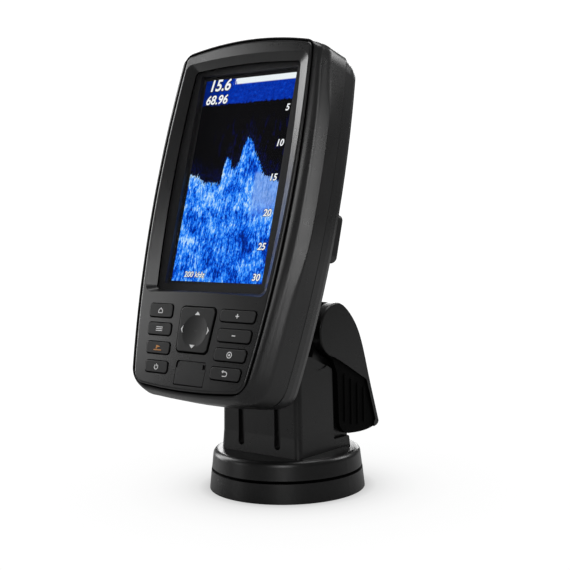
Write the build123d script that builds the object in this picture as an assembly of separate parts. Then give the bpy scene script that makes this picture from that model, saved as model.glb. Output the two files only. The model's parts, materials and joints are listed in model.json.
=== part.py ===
from build123d import *
import math
import os

# Fish finder on a tilt and swivel mount.  Millimetres, +Z up.
# Origin: centre of the round base, on its underside.
# The screen faces -Y; +X is to the right of a person who reads it.
#
# The head unit is drawn in its own frame, with the origin at the centre of the display:
# x to the right, y up the face, z out of the face.  It is moved to the mount when saved.

os.makedirs("parts", exist_ok=True)

# ---- head unit (head frame, except where it sits on the mount) ----
LEAN_BACK = 16.43                 # degrees the face leans back at rest
FACE_Y, FACE_Z = -34.21, 145.58   # centre of the display, mount frame

FACE_SLOPE = 0.0125               # the face plate thickens towards the keypad
FACE_Z0 = 6.4                     # front of the face plate at y = 0
SEAM_Z = 5.2                      # front of the case rim round the face plate
LEDGE_Z = 1.6                     # shelf in the case that carries the face plate
SPLIT_Z = -14.1                   # middle of the joint between front and rear case
SPLIT_HALF = 0.25                 # half the joint's width, filled by the gasket
BACK_Z = -27.0                    # rear plane of the case
SEAM_TOP, SEAM_BOTTOM = 62.2, -96.8

GLASS_TOP, GLASS_BOTTOM = 52.4, -52.6
GLASS_FRONT, GLASS_T = 3.7, 1.2
TAPE_T = 0.2
LCD_HALF_X, LCD_HALF_Y, LCD_BACK = 29.6, 50.6, -2.2

KEY_GAP = 0.32                    # gap round each key
KEY_PROUD = 0.45                  # keys stand this far above the face plate
KEY_CORNER = 1.5
PAD_PROUD = KEY_PROUD + 0.1       # direction pad above the face plate
PAD_CORNER = 2.2

RUN = 0.05                        # running clearance, radial
SHANK_R = 1.25                    # case, pod and cradle screws
SCREW_CLEAR_R = 1.6

# ---- tilt joint (mount frame) ----
PIVOT_Y, PIVOT_Z = 8.0, 74.5      # tilt axle
AXLE_R = 3.0
EAR_R = 9.0
BARREL_R = 9.0
BARREL_HALF = 11.6                # half width of the tilt barrel
EAR_IN, EAR_OUT = 12.4, 19.6
LEVER_IN, LEVER_OUT = 20.2, 25.0
CHEEK_IN, CHEEK_OUT = 21.8, 24.1  # lower sides of the lever, set in from its upper petals
LEVER_HEAD_R = 13.0

# ---- base (mount frame) ----
BASE_R_LOW, BASE_R_TOP, BASE_H = 36.9, 35.9, 9.4
TURN_Z0, TURN_Z1 = 9.8, 18.7      # turntable disc
SCREW_CIRCLE = 52.0               # pitch circle of the base screws, diameter
BASE_SCREW_R = 2.3
BOLT_R = 3.0
NUT_R = 5.7                       # bolt head and nut, over the hexagon's corners
SPRING_WASHER_T = 0.8

lean_cos = math.cos(math.radians(LEAN_BACK))
lean_sin = math.sin(math.radians(LEAN_BACK))
HEAD = Plane(origin=(0, FACE_Y, FACE_Z), x_dir=(1, 0, 0), z_dir=(0, -lean_cos, lean_sin)).location
# the tilt axle seen in the head frame
HEAD_PIVOT_Y = (PIVOT_Y - FACE_Y) * lean_sin + (PIVOT_Z - FACE_Z) * lean_cos
HEAD_PIVOT_Z = -(PIVOT_Y - FACE_Y) * lean_cos + (PIVOT_Z - FACE_Z) * lean_sin

# front surface of the face plate
slope_angle = math.atan(FACE_SLOPE)
FACE_PLANE = Plane(
    origin=(0, 0, FACE_Z0),
    x_dir=(1, 0, 0),
    z_dir=(0, math.sin(slope_angle), math.cos(slope_angle)),
)


# ==================================================================
# Helpers
# ==================================================================
def save(name, shapes, place=Location()):
    """Write one piece, given as a shape or a list of shapes, moved to its place."""
    if not isinstance(shapes, list):
        shapes = [shapes]
    solids = [solid for shape in shapes for solid in (place * shape).solids()]
    out = solids[0] if len(solids) == 1 else Compound(children=solids)
    export_step(out, f"parts/{name}.step")


def round_edges(shape, edges, radii):
    """Round edges with the first radius that builds."""
    edges = list(edges)
    if not edges:
        return shape
    for radius in radii:
        # guards against a fillet the kernel can't build at this radius
        try:
            out = fillet(edges, radius)
            if out.is_valid and out.volume > 0:
                return out
        except Exception:
            pass
    return shape


def edges_at(shape, z):
    """Edges centred at height z."""
    return [edge for edge in shape.edges() if abs(edge.center().Z - z) < 0.01]


def prism(face, height):
    return extrude(face, amount=height)


def polygon(points):
    return make_face(Polyline(*points, close=True))


def rounded_polygon(points, radius):
    return fillet(polygon(points).vertices(), radius)


def polygon_prism(points, radius, z, height):
    return prism(Pos(0, 0, z) * rounded_polygon(points, radius), height)


def grown(face, amount):
    return offset(face, amount=amount, kind=Kind.ARC)


def rod(radius, length, start, axis="Z"):
    """Cylinder that begins at start and runs along +axis."""
    turn = {"Z": (0, 0, 0), "X": (0, 90, 0), "Y": (-90, 0, 0)}[axis]
    align = (Align.CENTER, Align.CENTER, Align.MIN)
    return Pos(*start) * Rot(*turn) * Cylinder(radius, length, align=align)


def ring(outer, inner, length, start, axis="Z"):
    return rod(outer, length, start, axis) - rod(inner, length, start, axis)


def frustum(low_radius, top_radius, height, start):
    align = (Align.CENTER, Align.CENTER, Align.MIN)
    return Pos(*start) * Cone(low_radius, top_radius, height, align=align)


def hexagon(radius, height, start):
    return extrude(Pos(*start) * RegularPolygon(radius, 6), amount=height)


def box(x0, x1, y0, y1, z0, z1):
    return Pos((x0 + x1) / 2, (y0 + y1) / 2, (z0 + z1) / 2) * Box(x1 - x0, y1 - y0, z1 - z0)


def slab(half_x, half_y, z0, z1):
    """Box centred on the z axis."""
    return box(-half_x, half_x, -half_y, half_y, z0, z1)


def side_extrude(face, x0, x1):
    """Extrude a face drawn in (y, z) along X from x0 to x1."""
    plane = Plane(origin=(x0, 0, 0), x_dir=(0, 1, 0), z_dir=(1, 0, 0))
    return extrude(plane.location * face, amount=x1 - x0)


def side_prism(points, x0, x1):
    return side_extrude(polygon(points), x0, x1)


def side_span(side, inner, outer):
    """The x range from inner to outer, on the right (side 1) or the left (side -1)."""
    return (inner, outer) if side > 0 else (-outer, -inner)


def stacked_loft(sections):
    """Ruled lofts between neighbouring sections, joined."""
    solid = loft(sections[:2], ruled=True)
    for first, second in zip(sections[1:-1], sections[2:]):
        solid = solid + loft([first, second], ruled=True)
    return solid


def hex_screw(start, head_radius, head_height, shank, socket_depth):
    """Screw with its head at start, shank towards +z and a hexagon socket."""
    x, y, z = start
    screw = rod(head_radius, head_height, start) + rod(SHANK_R, shank, (x, y, z + head_height))
    return screw - hexagon(1.2, socket_depth, start)


# ---- outlines of the head: half widths at height y ----
def seam_half(y):
    """Seam round the face plate."""
    s = (y + 18.0) / 80.0
    return 39.66 + 2.10 * s - 5.91 * s * s + 0.38 * s ** 3


def glass_half(y):
    """Opening over the glass."""
    s = y / 50.0
    return 33.6 - 0.33 * s - 2.29 * s * s


def bevel_half(y):
    """Front edge of the bevel round the glass."""
    s = y / 50.0
    return 38.1 + 0.35 * s - 2.2 * s * s


def outline(grow, top, bottom, top_radius, bottom_radius, z,
            half_width=seam_half, top_sag=4.0, bottom_sag=1.9, stations=9):
    """Closed outline: curved sides, arched top and bottom, rounded corners."""
    y_top = top - top_sag
    y_low = bottom + bottom_sag
    heights = [y_low + (y_top - y_low) * i / (stations - 1) for i in range(stations)]
    right = [(half_width(y) + grow, y) for y in heights]
    left = [(-x, y) for x, y in reversed(right)]
    x_top, x_low = right[-1][0], right[0][0]
    face = make_face([
        Spline(*[Vector(x, y, 0) for x, y in right]),
        ThreePointArc((x_top, y_top, 0), (0, top, 0), (-x_top, y_top, 0)),
        Spline(*[Vector(x, y, 0) for x, y in left]),
        ThreePointArc((-x_low, y_low, 0), (0, bottom, 0), (x_low, y_low, 0)),
    ])
    corners = face.vertices()
    tops = [p for p in corners if p.Y > 0]
    lows = [p for p in corners if p.Y <= 0]
    face = fillet(tops, top_radius)
    # find the lower corners again on the new face
    lows = [
        p for p in face.vertices()
        if min((p.X - low.X) ** 2 + (p.Y - low.Y) ** 2 for low in lows) < 1e-6
    ]
    return Pos(0, 0, z) * fillet(lows, bottom_radius)


def window(grow, z, grow_ends=0.0):
    """Outline of the glass opening, grown at the sides and at both ends."""
    return outline(grow, GLASS_TOP + grow_ends, GLASS_BOTTOM - grow_ends, 2.4, 2.4, z,
                   half_width=glass_half, top_sag=1.6, bottom_sag=0.15, stations=7)


def front_z(y):
    """Front of the face plate at height y."""
    return FACE_Z0 - FACE_SLOPE * y


def above_face(extra):
    """Everything in front of the face plate's surface raised by extra."""
    return Pos(0, 0, extra) * (FACE_PLANE.location * Pos(0, 0, 20) * Box(140, 260, 40))


# ==================================================================
# Keypad layout (head frame)
# ==================================================================
# corners (x, y) of each key: top left, bottom left, bottom right, top right
KEYS = {
    "key_home": [(-30.0, -59.6), (-29.1, -65.7), (-15.0, -65.7), (-15.5, -59.6)],
    "key_menu": [(-29.0, -68.1), (-28.1, -73.7), (-14.0, -73.7), (-14.4, -68.1)],
    "key_mark": [(-27.8, -76.6), (-26.9, -82.0), (-12.8, -82.0), (-13.2, -76.6)],
    "key_power": [(-26.4, -85.0), (-25.5, -90.3), (-12.0, -90.3), (-12.4, -85.0)],
    "key_range_up": [(12.8, -60.5), (12.9, -65.8), (32.2, -65.8), (32.9, -60.5)],
    "key_range_down": [(13.2, -68.7), (13.3, -74.4), (31.6, -74.4), (32.2, -68.7)],
    "key_select": [(13.2, -77.0), (13.2, -82.5), (30.6, -82.5), (31.3, -77.0)],
    "key_back": [(12.9, -85.1), (12.8, -90.6), (29.4, -90.6), (30.1, -85.1)],
}
PAD = [(-10.4, -60.2), (-9.2, -80.2), (8.9, -80.2), (10.3, -60.2)]
PAD_OPENING = [(-9.6, -61.0), (-8.4, -79.4), (8.2, -79.4), (9.5, -61.0)]  # in the key sheet
PAD_Y = -70.2                     # centre of the direction pad
PAD_SWITCHES = [(0.0, -63.6), (0.0, -76.6), (-6.6, PAD_Y), (6.6, PAD_Y)]
ROCKER_Z = 3.6                    # both pins of the rocker
ROCKER_PIN_R, ROCKER_HOLE_R = 0.36, 0.4

DOOR = [(-7.6, -84.0), (-7.2, -94.4), (9.4, -94.4), (9.8, -84.0)]
DOOR_FLOOR = [(-8.6, -83.0), (-8.2, -91.0), (10.4, -91.0), (10.8, -83.0)]
SEAL_OUTER = [(-6.6, -84.9), (-6.3, -90.6), (8.5, -90.6), (8.8, -84.9)]
SEAL_INNER = [(-5.6, -85.9), (-5.4, -89.6), (7.6, -89.6), (7.8, -85.9)]
HINGE_Y, HINGE_Z, HINGE_PIN_R = -93.0, 5.9, 0.75   # pin along X, low on the door
CARD_MOUTH = (-5.2, 7.4, -88.6, -86.6)             # x0, x1, y0, y1

KEY_BOARD = [(-28.6, -91.6), (28.6, -91.6), (34.2, -57.6), (-34.2, -57.6)]
KEY_SHEET = [(-28.8, -91.8), (30.2, -91.8), (33.6, -58.2), (-33.0, -58.2)]


def key_centre(points):
    return sum(p[0] for p in points) / 4, sum(p[1] for p in points) / 4


def face_hole(points, gap, corner):
    """Cutter for the opening round a key, the pad or the door."""
    return prism(Pos(0, 0, LEDGE_Z) * grown(rounded_polygon(points, corner), gap), 9.0)


def button(points, corner, back_z, proud, radii):
    """Button cut off parallel to the face plate, with its front edge rounded."""
    solid = polygon_prism(points, corner, back_z, 7.0) - above_face(proud)
    rim = [
        edge for edge in solid.edges()
        if abs(edge.center().Z - front_z(edge.center().Y) - proud) < 0.05
    ]
    return round_edges(solid, rim, radii)


# ==================================================================
# Face plate
# ==================================================================
def front_bezel():
    bezel = prism(outline(0.0, SEAM_TOP, SEAM_BOTTOM, 3.2, 6.5, LEDGE_Z + 0.1), 8.0)
    bezel = bezel - above_face(0)
    rim = [
        edge for edge in bezel.edges()
        if edge.center().Z > 4.6 and (abs(edge.center().X) > 20 or abs(edge.center().Y) > 55)
    ]
    bezel = round_edges(bezel, rim, (1.0, 0.7, 0.4))

    # bevel from the face down to the glass
    tape_front = GLASS_FRONT + TAPE_T
    bevel_edge = FACE_PLANE.location * outline(
        0.0, 56.2, -53.6, 4.0, 3.6, 0,
        half_width=bevel_half, top_sag=2.2, bottom_sag=-0.9, stations=7,
    )
    bezel = bezel - loft([window(0.0, tape_front), bevel_edge], ruled=True)
    bezel = bezel - extrude(bevel_edge, amount=4.0)
    # pocket from behind for the glass, and the opening
    bezel = bezel - prism(window(1.35, LEDGE_Z, 1.2), tape_front - LEDGE_Z)
    bezel = bezel - prism(window(0.0, LEDGE_Z), 4.0)

    bezel = bezel - face_hole(PAD, 0.5, PAD_CORNER) - face_hole(DOOR, 0.25, 1.2)
    for points in KEYS.values():
        bezel = bezel - face_hole(points, KEY_GAP, KEY_CORNER)

    # door hinge: knuckle relief, then pin holes at its sides
    bezel = bezel - rod(2.3, 17.2, (-7.5, HINGE_Y, HINGE_Z), "X")
    bezel = bezel - rod(HINGE_PIN_R, 23.0, (-10.4, HINGE_Y, HINGE_Z), "X")
    # floor under the door with the card mouth
    floor = polygon_prism(DOOR_FLOOR, 1.0, LEDGE_Z + 0.1, 1.1)
    bezel = bezel + (floor - box(*CARD_MOUTH, 0, 6))
    # recess at the back for the key sheet
    recess = grown(rounded_polygon(KEY_SHEET, 3.0), 0.2)
    recess = prism(Pos(0, 0, LEDGE_Z - 0.1) * recess, 1.9)
    return bezel - (recess - box(-9.2, 11.4, -95, -82.4, -1, 8))


# ==================================================================
# Glass and display
# ==================================================================
def screen_lens():
    return prism(window(1.2, GLASS_FRONT - GLASS_T, 1.05), GLASS_T)


def lens_tape():
    tape = prism(window(1.2, GLASS_FRONT, 1.05), TAPE_T)
    return tape - prism(window(0.1, GLASS_FRONT - 1, 0.1), 3.0)


def lcd_panel():
    panel = slab(LCD_HALF_X, LCD_HALF_Y, LCD_BACK, 0.0)
    return round_edges(panel, panel.edges().filter_by(Axis.Z), (0.8,))


def lcd_frame():
    frame = prism(window(0.6, -4.2, 0.5), 6.6)
    frame = frame - slab(LCD_HALF_X + 0.1, LCD_HALF_Y + 0.1, LCD_BACK, 0.02)
    frame = frame - slab(28.4, 49.2, -0.5, 5)
    return frame - slab(26, 46, -5, -2.0)


def backlight():
    return slab(25.8, 45.8, -3.4, LCD_BACK)


# ==================================================================
# Case
# ==================================================================
# stations: side growth, top growth, bottom growth, top radius, bottom radius, z, grip facet
FRONT_STATIONS = [
    (0.9, 0.8, 0.9, 4.2, 7.2, SEAM_Z, 0.0),
    (2.9, 1.8, 2.4, 7.0, 8.8, 4.5, 0.0),
    (4.4, 2.4, 3.4, 9.5, 9.8, 2.6, 0.0),
    (6.0, 2.8, 3.8, 11.5, 10.8, -3.0, 1.1),
    (5.3, 2.7, 3.7, 11.5, 11.0, SPLIT_Z + SPLIT_HALF, 0.3),
]
REAR_STATIONS = [
    (4.7, 2.4, 3.4, 11.2, 10.6, SPLIT_Z - SPLIT_HALF, 0.1),
    (4.3, 2.2, 3.1, 11.0, 10.4, -18.6, 0.0),
    (3.7, 1.7, 2.6, 10.6, 10.0, -22.0, 0.0),
    (2.7, 0.9, 1.8, 9.8, 9.2, -24.8, 0.0),
    (1.3, -0.3, 0.5, 8.6, 8.0, -26.5, 0.0),
    (-0.2, -1.6, -0.8, 7.4, 6.8, BACK_Z, 0.0),
]
FACET_LOW, FACET_HIGH = -62.0, 47.0   # pointed ends of the grip facets

# centres (x, y) of the screws, all driven from the back
CASE_SCREWS = [(-33.0, 44.0), (33.0, 44.0), (-36.0, -20.0), (36.0, -20.0),
               (-28.0, -86.0), (28.0, -86.0)]
CRADLE_SCREWS = [(-16.5, -43.0), (16.5, -43.0), (-16.0, -73.0), (16.0, -73.0)]

POD_Y = -18.4                     # sockets and pod screw
SOCKETS = {"power_socket": (-16.0, POD_Y), "sonar_socket": (16.0, POD_Y)}
VENT_Y, VENT_R = 40.0, 3.0


def facet(y):
    """Grip facet: 0 at its pointed ends, 1 along its middle."""
    if y <= FACET_LOW or y >= FACET_HIGH:
        return 0.0
    t = (y - FACET_LOW) / (FACET_HIGH - FACET_LOW)
    return min(1.0, 4.2 * t, 4.2 * (1 - t)) ** 0.8


def case_section(grow, grow_top, grow_bottom, top_radius, bottom_radius, z, facet_depth=0.0):
    return outline(
        grow, SEAM_TOP + grow_top, SEAM_BOTTOM - grow_bottom, top_radius, bottom_radius, z,
        half_width=lambda y: seam_half(y) + facet_depth * facet(y),
        top_sag=4.4, bottom_sag=2.2, stations=13,
    )


def front_case():
    case = stacked_loft([case_section(*station) for station in FRONT_STATIONS])
    # seat of the face plate, opening behind it, wider hollow behind the ledge
    case = case - prism(outline(0.2, SEAM_TOP + 0.2, SEAM_BOTTOM - 0.2, 3.4, 6.7, LEDGE_Z), 8.0)
    case = case - prism(outline(-2.0, SEAM_TOP - 2.2, SEAM_BOTTOM + 2.2, 3.0, 5.0, -20), 25.0)
    case = case - prism(outline(2.6, SEAM_TOP + 0.6, SEAM_BOTTOM - 0.8, 6.0, 8.0, -20), 20.6)
    # screw posts, each tied to the side wall by a rib
    for x, y in CASE_SCREWS:
        wall_x = math.copysign(seam_half(y) + 3.6, x)
        post = rod(3.0, 11.4, (x, y, -16.2))
        rib = box(min(x, wall_x), max(x, wall_x), y - 1.0, y + 1.0, -13.6, -4.9)
        case = case + (post + rib)
    for x, y in CASE_SCREWS:
        case = case - rod(SHANK_R, 9.4, (x, y, -16.3))
    return case


def rear_case():
    case = stacked_loft([case_section(*station) for station in REAR_STATIONS])
    case = case - prism(outline(1.4, SEAM_TOP + 0.2, SEAM_BOTTOM - 0.4, 6.0, 8.0, -24.6), 12.0)
    # case screw tubes, then their holes and head recesses
    for x, y in CASE_SCREWS:
        case = case + rod(3.6, 8.2, (x, y, -24.7))
    for x, y in CASE_SCREWS:
        case = case - rod(SCREW_CLEAR_R, 24.0, (x, y, -40.0)) - rod(2.9, 6.0, (x, y, -30.0))
    # openings behind the pod
    for x, y in SOCKETS.values():
        case = case - rod(6.2, 6, (x, y, -29.0))
    case = case - rod(SHANK_R, 6, (0, POD_Y, -29.0))
    # seat and hole of the vent
    case = case - rod(VENT_R, 0.8, (0, VENT_Y, BACK_Z)) - rod(1.0, 6.0, (0, VENT_Y, BACK_Z - 1))
    # bosses for the cradle screws
    for x, y in CRADLE_SCREWS:
        case = case + rod(3.4, 4.0, (x, y, -25.0))
    for x, y in CRADLE_SCREWS:
        case = case - rod(SHANK_R, 5.6, (x, y, -28.0))
    return case


def case_gasket():
    outer = case_section(4.0, 2.3, 2.7, 9.0, 10.0, SPLIT_Z - SPLIT_HALF)
    inner = outline(2.0, SEAM_TOP + 1.0, SEAM_BOTTOM - 1.2, 7.0, 8.6, SPLIT_Z - 1)
    return prism(outer, 2 * SPLIT_HALF) - prism(inner, 2.0)


def case_screws():
    return [hex_screw((x, y, -25.8), 2.6, 1.8, 16.6, 1.1) for x, y in CASE_SCREWS]


def vent_membrane():
    return rod(VENT_R, 0.6, (0, VENT_Y, BACK_Z + 0.2))


# ==================================================================
# Rear connector pod with two round sockets
# ==================================================================
def pod_step(half_x, y0, y1, corner, back_z, height, radii):
    """Rounded block with its rear edge rounded."""
    points = [(-half_x, y0), (half_x, y0), (half_x, y1), (-half_x, y1)]
    block = polygon_prism(points, corner, back_z, height)
    return round_edges(block, edges_at(block, back_z), radii)


def connector_pod():
    pod = pod_step(38, -30.4, -7.8, 3.0, -35.6, 8.6, (2.2, 1.5, 1.0))
    pod = pod + pod_step(32, -27.6, -9.6, 3.5, -37.0, 4.0, (1.0, 0.6))
    pod = pod - box(-31, 31, -24.4, -11.8, -33.0, -26.9)
    for x, y in SOCKETS.values():
        pod = pod - rod(7.0, 12, (x, y, -38.0))
    # screw hole, head recess and the tube round the screw
    screw_hole = rod(SCREW_CLEAR_R, 20, (0, POD_Y, -40.0))
    pod = pod - screw_hole - rod(2.9, 3.0, (0, POD_Y, -38.0))
    return pod + (rod(3.6, 6.0, (0, POD_Y, -33.0)) - screw_hole)


def pod_screw():
    return hex_screw((0, POD_Y, -36.7), 2.6, 1.7, 10.6, 1.1)


def socket_pins(x, y):
    pins = []
    for i in range(4):
        angle = math.radians(45 + 90 * i)
        start = (x + 2.6 * math.cos(angle), y + 2.6 * math.sin(angle), -34.0)
        pins.append(rod(0.6, 13.0, start))
    return pins


def round_socket(x, y):
    """Stepped cup with a key on its wall and four pin holes."""
    socket = rod(6.9, 8.6, (x, y, -36.2)) + rod(6.1, 6.8, (x, y, -29.0))
    socket = socket - rod(5.4, 8.0, (x, y, -37.0))
    socket = socket + box(x - 0.9, x + 0.9, y + 4.4, y + 5.6, -35.6, -29.2)
    for pin in socket_pins(x, y):
        socket = socket - pin
    return socket


def contact_pins():
    return [pin for centre in SOCKETS.values() for pin in socket_pins(*centre)]


# ==================================================================
# Boards and electronics
# ==================================================================
BOARD = [(-31, -84), (31, -84), (33.5, -40), (33.5, 30), (31, 48), (-31, 48),
         (-33.5, 30), (-33.5, -40)]
BOARD_BACK, BOARD_FRONT = -9.6, -8.0
SONAR_BOARD_FRONT = -13.2


def main_board():
    board = polygon_prism(BOARD, 2.0, BOARD_BACK, 1.6)
    for x, y in CASE_SCREWS:
        board = board - rod(3.4, 6, (x, y, -12))
    return board


def processor_shield():
    shield = box(-18, 18, -10, 26, BOARD_FRONT, -5.2)
    front = [edge for edge in shield.edges() if edge.center().Z > -5.3]
    return round_edges(shield, front + list(shield.edges().filter_by(Axis.Z)), (0.8, 0.5))


def sonar_board():
    return box(-24, 24, -44, -14, -14.6, SONAR_BOARD_FRONT)


def board_spacers():
    length = BOARD_BACK - SONAR_BOARD_FRONT
    return [rod(2.2, length, (x, y, SONAR_BOARD_FRONT)) for x in (-21, 21) for y in (-41, -17)]


def gps_antenna():
    antenna = box(-9, 9, 28, 46, BOARD_FRONT, -4.6)
    return round_edges(antenna, antenna.edges().filter_by(Axis.Z), (1.0,))


def beeper():
    return rod(6.0, 3.4, (20.0, -66.0, -13.0))


def card_socket():
    return box(-6.6, 8.8, -91.5, -84.2, -6.4, 1.6) - box(*CARD_MOUTH, -4.6, 2)


# ==================================================================
# Keys, key board and key sheet
# ==================================================================
KEY_BOARD_FRONT = 1.4


def key(points):
    cap = button(points, KEY_CORNER, 4.3, KEY_PROUD, (0.5, 0.35, 0.2))
    return cap + rod(1.2, 1.5, (*key_centre(points), 3.3))


def key_board():
    board = polygon_prism(KEY_BOARD, 3.0, 0.2, 1.2)
    return board - box(-9.0, 11.2, -95, -82.6, -1, 3)


def dome_switches():
    """One dome under each key, and lower ones under the direction pad."""
    places = [(*key_centre(points), 0.55) for points in KEYS.values()]
    places += [(x, y, 0.35) for x, y in PAD_SWITCHES]
    return [
        rod(2.2, 0.5, (x, y, KEY_BOARD_FRONT)) + rod(1.5, height, (x, y, KEY_BOARD_FRONT + 0.5))
        for x, y, height in places
    ]


def key_sheet():
    """Rubber sheet behind the face plate, with a hole for each plunger."""
    sheet = polygon_prism(KEY_SHEET, 3.0, 2.55, 0.75)
    sheet = sheet - box(-9.4, 11.6, -95, -82.2, -1, 6)
    sheet = sheet - polygon_prism(PAD_OPENING, 2.0, 1.0, 4.0)
    for points in KEYS.values():
        sheet = sheet - rod(1.7, 4.0, (*key_centre(points), 1.0))
    return sheet


# ==================================================================
# Direction pad on a small two-axis rocker
# ==================================================================
def dpad():
    pad = button(PAD, PAD_CORNER, 4.6, PAD_PROUD, (0.7, 0.5, 0.3))
    # shallow round dish in the middle
    dish_r, dish_depth = 42.0, 0.6
    dish_z = front_z(PAD_Y) + PAD_PROUD + dish_r - dish_depth
    pad = pad - Pos(0, PAD_Y, dish_z) * Sphere(dish_r)
    # two lugs that sit on the rocker's Y pin, and four plungers over the switches
    for y in (PAD_Y - 3.9, PAD_Y + 2.5):
        pad = pad + box(-0.9, 0.9, y, y + 1.4, ROCKER_Z - 1.2, 4.7)
    pad = pad - rod(ROCKER_HOLE_R, 10, (0, PAD_Y - 5, ROCKER_Z), "Y")
    for x, y in PAD_SWITCHES:
        pad = pad + rod(1.1, 1.9, (x, y, 2.8))
    return pad


def dpad_rocker():
    """Small block with a pin along Y for the pad and one along X for the seat."""
    rocker = box(-2.2, 2.2, PAD_Y - 2.3, PAD_Y + 2.3, ROCKER_Z - 0.9, ROCKER_Z + 0.75)
    rocker = rocker + rod(ROCKER_PIN_R, 7.6, (0, PAD_Y - 3.8, ROCKER_Z), "Y")
    return rocker + rod(ROCKER_PIN_R, 7.6, (-3.8, PAD_Y, ROCKER_Z), "X")


def rocker_seat():
    """Strip on the key board with a post at each end for the rocker's X pin."""
    y0, y1 = PAD_Y - 1.2, PAD_Y + 1.2
    seat = box(-4.2, 4.2, y0, y1, KEY_BOARD_FRONT, 1.9)
    for side in (-1, 1):
        seat = seat + box(*side_span(side, 2.9, 4.2), y0, y1, KEY_BOARD_FRONT, ROCKER_Z + 0.7)
    return seat - rod(ROCKER_HOLE_R, 10, (-5, PAD_Y, ROCKER_Z), "X")


# ==================================================================
# Card door, its pin and seal
# ==================================================================
DOOR_BACK = 4.3


def card_door():
    door = polygon_prism(DOOR, 1.0, DOOR_BACK, 6.0) - above_face(0.0)
    # the upper finger ledge is lower than the panel
    door = door - (above_face(-0.55) & box(-12, 14, -87.0, -80, 0, 12))
    # small notch at the right end of the ledge
    door = door - box(7.4, 9.2, -86.9, -84.9, 6.2, 12)
    # knuckle round the pin; the lower edge is trimmed to swing free
    door = door - box(-12, 14, -96, HINGE_Y + 0.2, 0, HINGE_Z)
    door = door + rod(1.55, 16.2, (-7.0, HINGE_Y, HINGE_Z), "X")
    door = door - rod(HINGE_PIN_R + RUN, 20, (-9, HINGE_Y, HINGE_Z), "X")
    swing = rod(1.95, 40, (-20, HINGE_Y, HINGE_Z), "X")
    return door - (box(-12, 14, -97, HINGE_Y, 0, 12) - swing)


def card_door_pin():
    return rod(HINGE_PIN_R, 19.6, (-8.7, HINGE_Y, HINGE_Z), "X")


def card_door_seal():
    return polygon_prism(SEAL_OUTER, 0.8, 3.2, 1.1) - polygon_prism(SEAL_INNER, 0.5, 2.0, 4.0)


# ==================================================================
# Cradle: plate on the back of the head, arm and tilt barrel
# ==================================================================
CRADLE_PLATE = [(-21, -79), (21, -79), (22, -36), (-22, -36)]
CRADLE_PLATE_T = 4.5


def cradle():
    plate_back = BACK_Z - CRADLE_PLATE_T
    plate = polygon_prism(CRADLE_PLATE, 4.0, plate_back, CRADLE_PLATE_T)
    plate = round_edges(plate, edges_at(plate, plate_back), (1.4, 1.0))

    # side view of the arm and barrel
    with BuildSketch() as arm_view:
        with BuildLine():
            Polyline(
                (-40.5, BACK_Z - 2),
                (-72.5, BACK_Z - 2),
                (HEAD_PIVOT_Y - 7.2, HEAD_PIVOT_Z),
                (HEAD_PIVOT_Y + 7.2, HEAD_PIVOT_Z),
                close=True,
            )
        make_face()
        with Locations((HEAD_PIVOT_Y, HEAD_PIVOT_Z)):
            Circle(BARREL_R)
    arm = side_extrude(arm_view.sketch, -BARREL_HALF, BARREL_HALF)
    # long side edges between the barrel and the plate
    arm_edges = [
        edge for edge in arm.edges()
        if abs(abs(edge.center().X) - BARREL_HALF) < 0.01
        and HEAD_PIVOT_Z + BARREL_R - 1 < edge.center().Z < BACK_Z - 3
        and edge.length > 12
    ]
    arm = round_edges(arm, arm_edges, (1.5, 1.0))

    body = plate + arm
    body = body - rod(AXLE_R + RUN, 60, (-30, HEAD_PIVOT_Y, HEAD_PIVOT_Z), "X")
    # cable slot through the arm
    body = body - box(-5.5, 5.5, -62, -50, -49, -20)
    for x, y in CRADLE_SCREWS:
        body = body - rod(SCREW_CLEAR_R, 20, (x, y, -40)) - rod(3.0, 2.6, (x, y, -32.1))
    return body


def cradle_screws():
    return [hex_screw((x, y, -31.4), 2.7, 1.9, 7.0, 1.2) for x, y in CRADLE_SCREWS]


# ==================================================================
# Swivel post: turntable disc, hollow stem, ears (mount frame)
# ==================================================================
STEM_FRONT, STEM_BACK, STEM_HALF = -20.0, 18.6, 23.2
# (y, z) side views
STEM_PROFILE = [
    (-30, 10), (30, 10), (30, 22.9), (17.8, 22.9), (17.0, 49.0), (13.4, 52.4), (8.5, 55.6),
    (0.7, 59.4), (-4.6, 61.9), (-9.0, 63.9), (-14.6, 63.9), (-17.4, 62.6), (-18.6, 60.0),
    (-30, 57.0),
]
EAR_WEB = [
    (-6.0, 18.0), (22.0, 18.0), (22.0, 30.0), (17.0, 60.0),
    (PIVOT_Y + EAR_R, PIVOT_Z), (PIVOT_Y - EAR_R, PIVOT_Z), (-6.0, 58.0),
]
SIDE_RECESS = [(6.2, 23.4), (6.2, 80.0), (40, 80.0), (40, 23.4)]


def turntable():
    turn = frustum(35.75, 34.7, TURN_Z1 - TURN_Z0, (0, 0, TURN_Z0))
    rim = [edge for edge in edges_at(turn, TURN_Z1) if edge.geom_type == GeomType.CIRCLE]
    turn = round_edges(turn, rim, (2.6, 2.0))
    # hollow underside with a hub and six spokes
    turn = turn - rod(32.4, 6.2, (0, 0, TURN_Z0 - 0.1))
    turn = turn + ring(10.5, BOLT_R + RUN, 8.0, (0, 0, TURN_Z0))
    for i in range(6):
        spoke = box(9.5, 33.0, -0.8, 0.8, TURN_Z0 + 2.4, TURN_Z1 - 2.4)
        turn = turn + (Rot(0, 0, 30 + 60 * i) * spoke)
    return turn


def stem_plan(grow, z):
    """Plan of the stem: wide front panel, rounded corners, flat sides."""
    x, front, back = STEM_HALF + grow, STEM_FRONT - grow, STEM_BACK + grow
    face = polygon([(-x, front), (x, front), (x, back), (-x, back)])
    face = fillet([p for p in face.vertices() if p.Y < 0], 2.8)
    face = fillet([p for p in face.vertices() if p.Y > 15], 1.2)
    return Pos(0, 0, z) * face


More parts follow.
